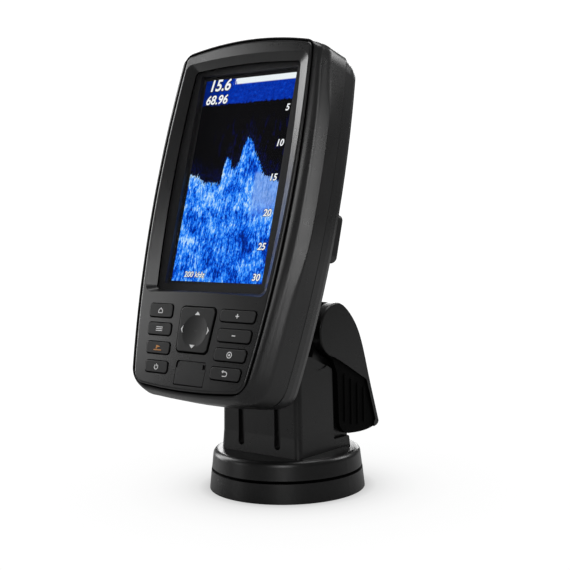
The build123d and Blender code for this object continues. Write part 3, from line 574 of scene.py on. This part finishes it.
# Layers: suffix, material, extra boldness, lift above DIGIT_Z in mm
DIGIT_LAYERS = [
    ("edge", plastic("digit_edge", base=0.004, rough=0.4), 0.10, 0.0),
    ("light", glow("digit_light", (0.92, 0.94, 0.95), strength=1.0,
                   base=(0.01, 0.01, 0.01), rough=0.5), 0.0, 0.05),
]
# Name, text, place across and down as picture fractions, digit height in mm, boldness
READOUTS = [
    ("scale_5", "5", 0.955, 0.170, 3.0, 0.045),
    ("scale_10", "10", 0.935, 0.340, 3.0, 0.045),
    ("scale_15", "15", 0.925, 0.504, 3.0, 0.045),
    ("scale_20", "20", 0.925, 0.671, 3.0, 0.045),
    ("scale_25", "25", 0.925, 0.829, 3.0, 0.045),
    ("scale_30", "30", 0.920, 0.972, 3.0, 0.045),
    ("readout_depth", "15.6", 0.165, 0.030, 5.4, 0.045),
    ("readout_temp", "68.96", 0.155, 0.103, 4.2, 0.045),
    ("readout_freq", "200 kHz", 0.25, 0.968, 2.5, 0.03),
]


def text_mesh(name, text, boldness):
    """Slanted text at font size 1, turned to a mesh."""
    curve = bpy.data.curves.new(name, "FONT")
    curve.body = text
    curve.size = 1.0
    curve.shear = DIGIT_SHEAR
    curve.offset = boldness * 0.5
    curve.align_x = "CENTER"
    curve.align_y = "CENTER"
    curve.resolution_u = 4
    carrier = bpy.data.objects.new(name + "_tmp", curve)
    bpy.context.scene.collection.objects.link(carrier)
    depsgraph = bpy.context.evaluated_depsgraph_get()
    mesh = bpy.data.meshes.new_from_object(carrier.evaluated_get(depsgraph))
    bpy.data.objects.remove(carrier)
    return mesh


def build_digits(name, text, across, down, height, boldness):
    """Light text on a dark, bolder copy of itself, lying on the display."""
    x, y = picture_place(across, down)
    for suffix, material, extra, lift in DIGIT_LAYERS:
        layer_name = name + "_" + suffix
        mesh = text_mesh(layer_name, text, boldness + extra)
        flat = np.zeros(len(mesh.vertices) * 3)
        mesh.vertices.foreach_get("co", flat)
        points = flat.reshape(-1, 3) * (height / CAP_HEIGHT)
        points[:, 0] += x
        points[:, 1] += y
        points[:, 2] = DIGIT_Z + lift
        mesh.vertices.foreach_set("co", to_world(points).astype(np.float32).ravel())
        mesh.update()
        piece = bpy.data.objects.new(layer_name, mesh)
        bpy.context.scene.collection.objects.link(piece)
        mesh.materials.clear()
        mesh.materials.append(material)
        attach(piece, "head")


for readout in READOUTS:
    build_digits(*readout)

# ---- the front case: a profile swept round the seam of the face plate ----
SEAM_TOP, SEAM_BOTTOM = 62.2, -96.8
TOP_RADIUS, BOTTOM_RADIUS = 3.2, 6.5
TOP_SAG, BOTTOM_SAG = 4.0, 1.9          # how far the ends bow out in the middle
SIDE_POINTS, CORNER_POINTS, END_POINTS = 34, 9, 22
QUARTER_HANDLE = 0.5523                 # Bezier handle of a quarter circle of radius 1
GRIP_LOW, GRIP_HIGH = -64.0, 48.0       # y range of the swelling on the sides
ARC_STEPS = 4                           # steps of a rounded profile corner
REAR_GAP_Z = -13.3                      # the profile is in the rear gap behind this


def smoothstep(t):
    return t * t * (3 - 2 * t)


def seam_half_width(y):
    t = (y + 18.0) / 80.0
    return 39.66 + 2.10 * t - 5.91 * t * t + 0.38 * t ** 3


def corner_curve(start, corner, end):
    """Points strictly between start and end of a round corner."""
    start, corner, end = map(np.array, (start, corner, end))
    near_start = start + (corner - start) * QUARTER_HANDLE
    near_end = end + (corner - end) * QUARTER_HANDLE
    t = np.linspace(0, 1, CORNER_POINTS + 2)[1:-1, None]
    return (start * (1 - t) ** 3 + 3 * near_start * t * (1 - t) ** 2
            + 3 * near_end * t * t * (1 - t) + end * t ** 3)


def mirrored(points):
    """The points on the other side, in reverse order."""
    return points[::-1] * (-1, 1)


def seam_outline():
    """Anticlockwise from the lower right: right side, top, left side, bottom."""
    top_y, bottom_y = SEAM_TOP - TOP_SAG, SEAM_BOTTOM + BOTTOM_SAG
    top_x, bottom_x = seam_half_width(top_y), seam_half_width(bottom_y)
    top_reach, bottom_reach = top_x - TOP_RADIUS, bottom_x - BOTTOM_RADIUS
    heights = np.linspace(bottom_y + BOTTOM_RADIUS, top_y - TOP_RADIUS, SIDE_POINTS)
    side = np.array([(seam_half_width(y), y) for y in heights])
    top = np.array([(x, SEAM_TOP - TOP_SAG * (x / top_x) ** 2)
                    for x in np.linspace(top_reach, -top_reach, END_POINTS)])
    bottom = np.array([(x, SEAM_BOTTOM + BOTTOM_SAG * (x / bottom_x) ** 2)
                       for x in np.linspace(-bottom_reach, bottom_reach, END_POINTS)])
    top_corner = corner_curve(side[-1], (top_x, top_y), top[0])
    bottom_corner = corner_curve(bottom[-1], (bottom_x, bottom_y), side[0])
    return np.vstack([side, top_corner, top, mirrored(top_corner), mirrored(side),
                      mirrored(bottom_corner), bottom, bottom_corner])


def outward_normals(outline):
    along = np.roll(outline, -1, 0) - np.roll(outline, 1, 0)
    normals = np.column_stack([along[:, 1], -along[:, 0]])
    return normals / np.linalg.norm(normals, axis=1)[:, None]


def round_profile(corners):
    """Closed profile of (offset, z, radius); a corner with a radius becomes a curve."""
    points = []
    for i, (offset, z, radius) in enumerate(corners):
        corner = np.array([offset, z], float)
        if radius <= 0:
            points.append(corner)
            continue
        to_last = np.array(corners[i - 1][:2], float) - corner
        to_next = np.array(corners[(i + 1) % len(corners)][:2], float) - corner
        last_length, next_length = np.linalg.norm(to_last), np.linalg.norm(to_next)
        # neighbouring curves never meet on a short edge
        reach = min(radius, last_length * 0.48, next_length * 0.48)
        start = corner + to_last / last_length * reach
        end = corner + to_next / next_length * reach
        for t in np.linspace(0, 1, ARC_STEPS + 1):
            points.append((1 - t) ** 2 * start + 2 * t * (1 - t) * corner + t * t * end)
    return np.array(points)


def grip_swell(y):
    """0 outside the grip range, easing to 1 within it."""
    if y <= GRIP_LOW or y >= GRIP_HIGH:
        return 0.0
    t = (y - GRIP_LOW) / (GRIP_HIGH - GRIP_LOW)
    return smoothstep(min(1.0, t / 0.34, (1 - t) / 0.22))


def case_profile(y, sideways):
    """Profile in (offset out from the seam, z) where the normal points sideways by 0 to 1."""
    side = smoothstep(sideways)
    grip = grip_swell(y) if side > 0.9 else 0.0
    # the case is narrower at the ends than at the sides
    spread = 0.42 + 0.58 * sideways ** 4 if y > 0 else 0.64 + 0.36 * sideways
    lift = max(0.0, 0.75 - FACE_SLOPE * y) * side
    shoulder_offset, shoulder_z = 4.45 * spread, 2.7
    widest_offset, widest_z = (5.75 + 1.35 * grip) * spread, -1.2 - 1.9 * grip
    back_offset, back_z = 5.45 * spread + 0.15, -13.45
    flank_z = -12.6
    flank_part = (flank_z - widest_z) / (back_z - widest_z)
    flank_offset = widest_offset + flank_part * (back_offset - widest_offset)
    return round_profile([
        # wall and edge beside the face plate; the first three points are in the gap
        (0.22, 1.6, 0), (0.22, 4.6 + 0.6 * lift, 0), (0.62 + 0.45 * side, 5.1 + lift, 0),
        # rim
        (0.70 + 0.45 * side, 5.18 + lift, 0), (1.25 + 0.25 * side, 5.2 + lift, 0.2),
        (2.75 * spread + 0.1, 4.55 + 0.62 * lift, 1.3),
        # shoulder and widest place
        (shoulder_offset - 0.45 * (1 - grip), shoulder_z + 0.5, 1.2),
        (shoulder_offset + 0.55 * grip, shoulder_z - 0.9, 0.5 + 0.9 * (1 - grip)),
        (widest_offset, widest_z, 0.45 + 1.8 * (1 - grip)),
        # flank down to the rear edge
        (flank_offset, flank_z, 0), (back_offset, back_z, 0),
        (5.2 * spread + 0.1, -13.85, 0), (3.2, -13.85, 0),
        # inside, and the ledge under the face plate
        (2.4, -13.7, 0), (2.2, 0.6, 0), (-2.0, 0.6, 0), (-2.0, 1.6, 0),
    ])


def build_front_case():
    outline = seam_outline()
    points, faces, gap = [], [], []
    for (x, y), (normal_x, normal_y) in zip(outline, outward_normals(outline)):
        profile = case_profile(y, abs(normal_x))
        for k, (offset, z) in enumerate(profile):
            points.append((x + normal_x * offset, y + normal_y * offset, z))
            # gap is 1 where the case gets painted shade: the wall in the gap beside the face
            # plate and the flank in the rear gap
            gap.append(1.0 if k < 3 or z < REAR_GAP_Z else 0.0)
    count, size = len(outline), len(profile)
    for i in range(count):
        here, ahead = i * size, (i + 1) % count * size
        for k in range(size):
            after = (k + 1) % size
            faces.append((here + k, here + after, ahead + after, ahead + k))
    shell = make_piece("front_case_shell", points, faces, "head", SHELL,
                       sharp=24, replaces=("front_case",))
    attribute = shell.data.attributes.new("gap", "FLOAT", "POINT")
    attribute.data.foreach_set("value", gap)


build_front_case()

# ---- printed symbols on the keys ----
KEY_PROUD = 0.45                    # key tops above the face plate
PAD_PROUD = KEY_PROUD + 0.1
PRINT_SINK, PRINT_RAISE = 0.04, 0.07
LINE, BOLD_LINE = 0.34, 0.42        # stroke widths
PAD_CENTRE = (0.0, -70.2)
# printed symbols in grey and orange print, with a painted glow that brightens them without any
# lamp
GREY_PRINT_GLOW = glow("print_light_grey_glow", (0.62, 0.62, 0.62), strength=0.22,
                  base=(0.72, 0.72, 0.72), rough=0.6)
ORANGE_PRINT_GLOW = glow("print_orange_glow", (0.62, 0.30, 0.10), strength=0.10,
                    base=(0.62, 0.27, 0.08), rough=0.6)


def stroke_edges(points, width, closed):
    """Left and right edges of a stroke, with mitred joints."""
    path = np.array(points, float)
    count = len(path)
    left, right = [], []
    for i in range(count):
        before = path[i] - path[i - 1] if closed or i else path[1] - path[0]
        after = path[(i + 1) % count] - path[i] if closed or i < count - 1 else before
        before = before / np.linalg.norm(before)
        after = after / np.linalg.norm(after)
        normal = np.array([-before[1], before[0]])
        miter = normal + np.array([-after[1], after[0]])
        miter /= np.linalg.norm(miter)
        miter *= width / 2 / max(0.4, float(miter @ normal))
        left.append(path[i] + miter)
        right.append(path[i] - miter)
    return left, right


def build_symbol(name, body, centre, strokes=(), fills=(), material=GREY_PRINT_GLOW,
                 proud=KEY_PROUD):
    """Thin raised print. Strokes are (points, width, closed), fills are outlines."""
    loops = []
    for path, width, closed in strokes:
        left, right = stroke_edges(path, width, closed)
        count = len(left)
        for i in range(count if closed else count - 1):
            j = (i + 1) % count
            loops.append([right[i], right[j], left[j], left[i]])
    loops.extend(fills)
    points, faces = [], []
    for loop in loops:
        base, count = len(points), len(loop)
        for level in (-PRINT_SINK, PRINT_RAISE):
            for offset_x, offset_y in loop:
                x, y = centre[0] + offset_x, centre[1] + offset_y
                points.append((x, y, FACE_Z - FACE_SLOPE * y + proud + level))
        faces.append(tuple(base + i for i in range(count))[::-1])
        faces.append(tuple(base + count + i for i in range(count)))
        for i in range(count):
            j = (i + 1) % count
            faces.append((base + i, base + j, base + count + j, base + count + i))
    make_piece(name, points, faces, body, material, smooth=False)


def arc(x, y, radius, start, end, steps):
    """Points on an arc round (x, y), angles in degrees."""
    angles = [math.radians(start + (end - start) * i / steps) for i in range(steps + 1)]
    return [(x + radius * math.cos(angle), y + radius * math.sin(angle)) for angle in angles]


def level_line(y, start, end, width):
    return [(start, y), (end, y)], width, False


BAR = level_line(0, -0.95, 0.95, BOLD_LINE)

build_symbol(
    "print_home", "key_home", (-22.6, -62.7),
    strokes=[([(-1.15, -1.0), (1.15, -1.0), (1.15, 0.1), (0, 1.1), (-1.15, 0.1)], LINE, True)])
build_symbol(
    "print_menu", "key_menu", (-21.4, -70.9),
    strokes=[level_line(y, -1.9, 1.9, LINE) for y in (0.8, 0.0, -0.8)])
build_symbol(
    "print_mark", "key_mark", (-20.2, -79.3), material=ORANGE_PRINT_GLOW,
    strokes=[level_line(-1.0, -2.3, 2.3, BOLD_LINE)],
    fills=[[(-1.1, -0.55), (-0.55, -0.55), (-0.55, 0.1), (1.5, 0.5), (-0.55, 1.1), (-1.1, 1.1)]])
build_symbol(
    "print_power", "key_power", (-19.0, -87.7),
    strokes=[(arc(0, -0.1, radius=1.05, start=125, end=415, steps=16), LINE, False),
             ([(0, 0.15), (0, 1.35)], LINE, False)])
build_symbol(
    "print_plus", "key_range_up", (22.6, -63.1),
    strokes=[BAR, ([(0, -0.95), (0, 0.95)], BOLD_LINE, False)])
build_symbol("print_minus", "key_range_down", (22.4, -71.5), strokes=[BAR])
build_symbol(
    "print_select", "key_select", (21.9, -79.7),
    strokes=[(arc(0, 0, radius=1.25, start=0, end=340, steps=17), LINE, True)],
    fills=[arc(0, 0, radius=0.5, start=0, end=330, steps=11)])
build_symbol(
    "print_back", "key_back", (21.2, -87.8),
    strokes=[(arc(0.3, 0, radius=0.95, start=-90, end=90, steps=8), LINE, False),
             level_line(-0.95, 0.3, -1.3, LINE),
             level_line(0.95, 0.3, -1.0, LINE)],
    fills=[[(-1.9, 0.95), (-0.9, 0.25), (-0.9, 1.65)]])

# Arrowheads on the four-way pad: outline points round its centre
PAD_ARROWS = {
    "print_up": [(-1.5, 6.5), (1.5, 6.5), (0, 8.0)],
    "print_down": [(-1.5, -6.6), (0, -8.1), (1.5, -6.6)],
    "print_left": [(-7.0, 1.7), (-8.2, 0), (-7.0, -1.7), (-7.45, 0)],
    "print_right": [(7.0, 1.7), (7.45, 0), (7.0, -1.7), (8.2, 0)],
}
for arrow_name, arrow in PAD_ARROWS.items():
    build_symbol(arrow_name, "dpad", PAD_CENTRE, fills=[arrow], proud=PAD_PROUD)

# ---- floor and world ----
scene = bpy.context.scene
scene.view_settings.view_transform = "Standard"
scene.view_settings.look = "None"

FLOOR_HALF = 4
# Floor brightness seen by the camera, as (position, grey), over a span of
# distances from the middle in metres; the dimmer greys near the middle are a painted
# shadow of the mount
FLOOR_SPAN = (0.036, 0.120)
FLOOR_GLOW_AND_SHADOW = [
    (0.0, 0.56), (0.03, 0.66), (0.08, 0.80), (0.15, 0.87), (0.23, 0.92),
    (0.32, 0.955), (0.50, 0.985), (0.80, 1.0), (1.0, 1.0),
]


def floor_material():
    """Glows white for the camera, with a painted shadow near the mount; plain grey for other
    rays.
    """
    material, tree, shader = new_material("floor_white")
    length = add_node(tree, "VectorMath", {0: coordinates(tree)}, operation="LENGTH")
    distance = length.outputs["Value"]
    reach = map_range(tree, distance, source=FLOOR_SPAN, target=(0, 1))
    brightness = color_ramp(tree, reach, [(at, (level,) * 3) for at, level in FLOOR_GLOW_AND_SHADOW])
    camera_ray = add_node(tree, "LightPath").outputs["Is Camera Ray"]
    seen = calculate(tree, "MULTIPLY", brightness, camera_ray)
    far_gain = map_range(tree, distance, source=(0.10, 0.40), target=(1.0, 1.1))
    feed(tree, shader, {
        "Base Color": mix_color(tree, camera_ray, (0.36, 0.36, 0.36), (0.0, 0.0, 0.0)),
        "Roughness": 0.9,
        "Specular IOR Level": 0.0,
        "Emission Color": (1, 1, 1),
        "Emission Strength": calculate(tree, "MULTIPLY", seen, far_gain),
    })
    return material


def build_floor():
    mesh = bpy.data.meshes.new("floor")
    signs = ((-1, -1), (1, -1), (1, 1), (-1, 1))
    mesh.from_pydata([(x * FLOOR_HALF, y * FLOOR_HALF, 0) for x, y in signs],
                     [], [(0, 1, 2, 3)])
    floor = bpy.data.objects.new("floor", mesh)
    scene.collection.objects.link(floor)
    mesh.materials.append(floor_material())


def build_world():
    """Dim white light all round; the camera itself sees bright white."""
    world = bpy.data.worlds.new("studio")
    scene.world = world
    world.use_nodes = True
    tree = world.node_tree
    dim = tree.nodes["Background"]
    feed(tree, dim, {"Color": (1, 1, 1), "Strength": 0.13})
    bright = add_node(tree, "Background", {"Color": (1, 1, 1), "Strength": 1.1})
    camera_ray = add_node(tree, "LightPath").outputs["Is Camera Ray"]
    mix = add_node(tree, "MixShader", {
        0: camera_ray, 1: dim.outputs[0], 2: bright.outputs[0],
    })
    feed(tree, tree.nodes["World Output"], {"Surface": mix.outputs[0]})


build_floor()
build_world()

# ---- lights ----
MOUNT_PARTS = [NODES[name] for name in ("base_plate", "swivel_post", "tilt_lever")]
FRONT_PARTS = [NODES[name] for name in ("front_bezel", "card_door", "dpad")]
FRONT_PARTS += [NODES[name] for name in NODES if name.startswith("key_")]


def add_area(name, place, size, power, aim=(0, 0, 0.11), only=(), spare=()):
    """Area light of (width, height) in metres, for some pieces only or sparing some."""
    light = bpy.data.lights.new(name, "AREA")
    light.energy = power
    light.shape = "RECTANGLE"
    light.size, light.size_y = size
    lamp = bpy.data.objects.new(name, light)
    scene.collection.objects.link(lamp)
    lamp.location = place
    lamp.rotation_mode = "QUATERNION"
    lamp.rotation_quaternion = (Vector(aim) - Vector(place)).to_track_quat("-Z", "Y")
    if only or spare:
        receivers = bpy.data.collections.new(name + "_set")
        for piece in only or spare:
            receivers.objects.link(piece)
        if spare:
            for entry in receivers.collection_objects:
                entry.light_linking.link_state = "EXCLUDE"
        lamp.light_linking.receiver_collection = receivers


add_area("key_left", (-1.0, -0.04, 0.36), size=(0.5, 0.9), power=7.6)
add_area("top", (0.0, 0.15, 1.0), size=(0.6, 0.6), power=4.4, aim=(0, 0, 0.1))
add_area("right_strip", (0.91, 0.04, 0.27), size=(0.18, 0.6), power=1.9, spare=MOUNT_PARTS)
add_area("front_right", (0.55, -0.85, 0.44), size=(0.34, 0.6), power=2.9)
add_area("rim_back", (0.45, 0.80, 0.70), size=(0.4, 0.4), power=3.0)
add_area("mount_front", (-0.58, -0.72, 0.10), size=(0.25, 0.5), power=0.65,
         aim=(0, 0, 0.05), only=MOUNT_PARTS)
add_area("keypad_glow", (-0.157, -0.159, 0.134), size=(0.05, 0.08), power=0.034,
         aim=(-0.042, -0.0586, 0.088), only=FRONT_PARTS)
add_area("top_glow", (-0.138, -0.111, 0.282), size=(0.05, 0.05), power=0.036,
         aim=(-0.030, -0.0243, 0.202), only=FRONT_PARTS)
add_area("back_fill", (-0.70, 1.10, 0.45), size=(0.8, 0.8), power=8.0)

# ---- camera, in front and to the right ----
CAMERA_PLACE = (330.70467, -410.12871, 134.66827)   # mm
# World directions of the camera's right, up and backward axes
CAMERA_AXES = (
    (0.78028, 0.62515, -0.01858),
    (-0.03014, 0.06726, 0.99728),
    (0.6247, -0.7776, 0.07132),
)


def build_camera():
    lens = bpy.data.cameras.new("camera")
    lens.sensor_width = 36.0
    lens.sensor_fit = "HORIZONTAL"
    lens.lens = 70.6755789
    lens.shift_x = -0.00124561404
    lens.shift_y = -0.00559649123
    lens.clip_start = 0.01
    lens.clip_end = 20
    camera = bpy.data.objects.new("camera", lens)
    scene.collection.objects.link(camera)
    turn = Matrix(CAMERA_AXES).transposed().to_4x4()
    camera.matrix_world = Matrix.Translation(Vector(CAMERA_PLACE) * MM) @ turn
    scene.camera = camera


build_camera()
